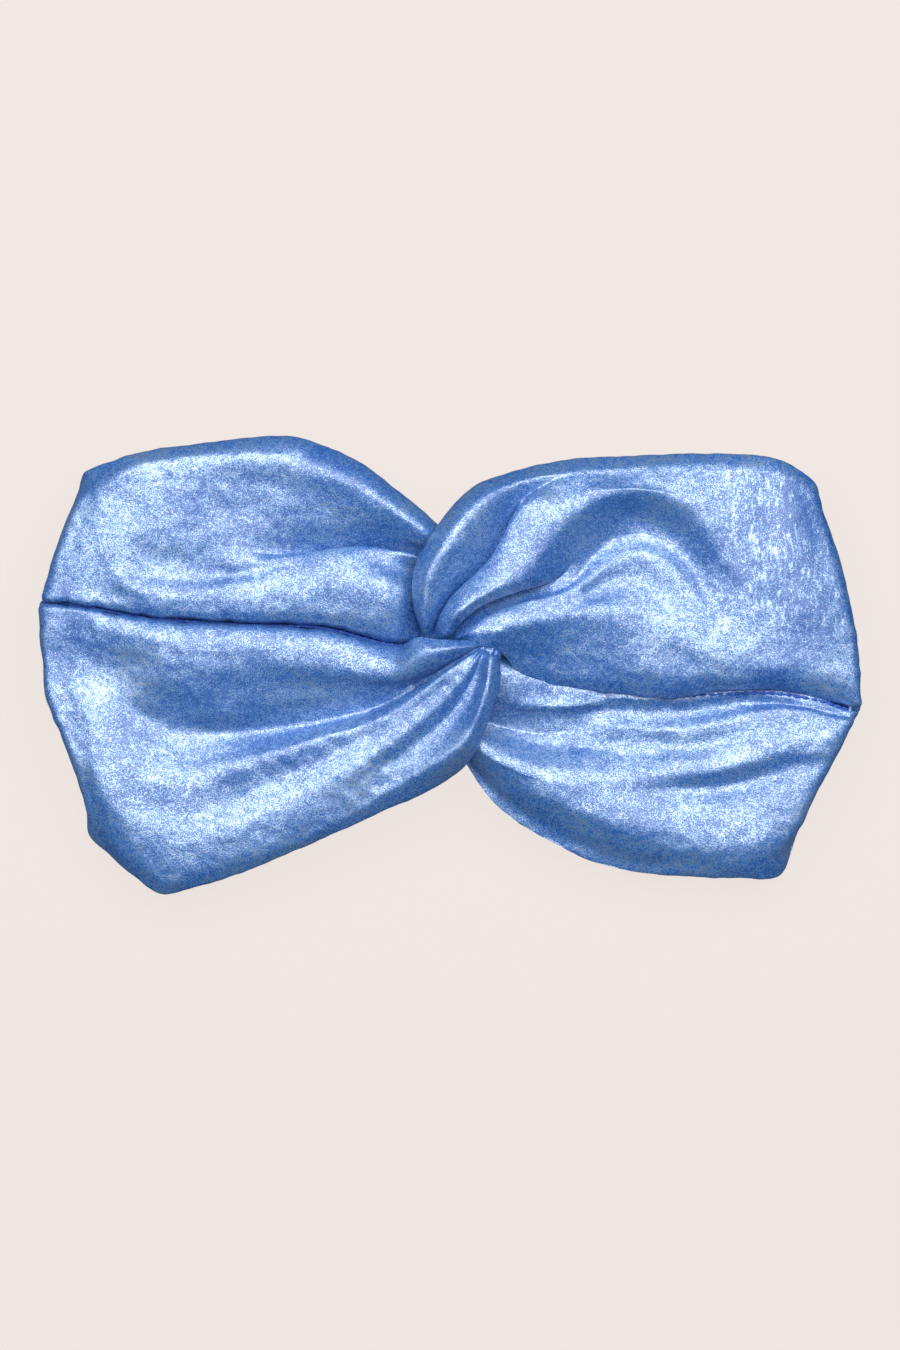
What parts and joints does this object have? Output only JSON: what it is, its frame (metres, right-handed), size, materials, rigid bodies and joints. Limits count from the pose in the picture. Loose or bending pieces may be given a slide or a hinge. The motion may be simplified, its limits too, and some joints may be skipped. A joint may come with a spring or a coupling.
{
  "type": "knotted headband",
  "caption": "Wide twist-front headband of metallic blue satin: two hooked fabric loops form a knot, with a narrow gathered back and an elastic insert.",
  "frame": {"origin": "on the surface that the band lies on, under the middle of its bounding box", "axes": "+X along the band from the left side fold to the right one, +Y towards the upper rim, +Z away from the surface"},
  "size_m": [0.2308, 0.1283, 0.0385],
  "materials": {
    "loop_satin": "metallic shimmer satin",
    "back_satin": "gathered metallic shimmer satin",
    "elastic_web": "woven elastic",
    "thread": "polyester sewing thread"
  },
  "bodies": {
    "back_centre": {"elastic_casing": "back_satin", "elastic_band": "elastic_web", "left_casing_stitching": "thread", "right_casing_stitching": "thread"},
    "left_back": {"left_back_strap": "back_satin", "left_side_stitching": "thread"},
    "left_wing": {"left_upper_leg": "loop_satin", "left_lower_leg": "loop_satin", "left_front_seam": "thread"},
    "knot": {"left_loop_turn": "loop_satin", "right_loop_turn": "loop_satin", "left_knot_seam": "thread", "right_knot_seam": "thread"},
    "right_wing": {"right_upper_leg": "loop_satin", "right_lower_leg": "loop_satin", "right_front_seam": "thread"},
    "right_back": {"right_back_strap": "back_satin", "right_side_stitching": "thread"}
  },
  "joints": [
    {"name": "band_open", "type": "hinge", "parent": "back_centre", "child": "left_back", "pos_m": [-0.032, 0, 0.005], "axis": [0, 1, 0], "range_deg": [0, 45]},
    {"name": "left_side_fold", "type": "hinge", "parent": "left_back", "child": "left_wing", "pos_m": [-0.10875, 0, 0.0085], "axis": [0, 1, 0], "range_deg": [-90, 0]},
    {"name": "left_front_bend", "type": "hinge", "parent": "left_wing", "child": "knot", "pos_m": [-0.032, 0, 0.012], "axis": [0, 1, 0], "range_deg": [0, 45]},
    {"name": "right_front_bend", "type": "hinge", "parent": "knot", "child": "right_wing", "pos_m": [0.032, 0, 0.012], "axis": [0, 1, 0], "range_deg": [0, 45]},
    {"name": "right_side_fold", "type": "hinge", "parent": "right_wing", "child": "right_back", "pos_m": [0.10875, 0, 0.0085], "axis": [0, 1, 0], "range_deg": [-90, 0]}
  ],
  "couplings": [
    {"joint": "left_side_fold", "follows": "band_open", "ratio": -2},
    {"joint": "left_front_bend", "follows": "band_open", "ratio": 1},
    {"joint": "right_front_bend", "follows": "band_open", "ratio": 1},
    {"joint": "right_side_fold", "follows": "band_open", "ratio": -2}
  ]
}
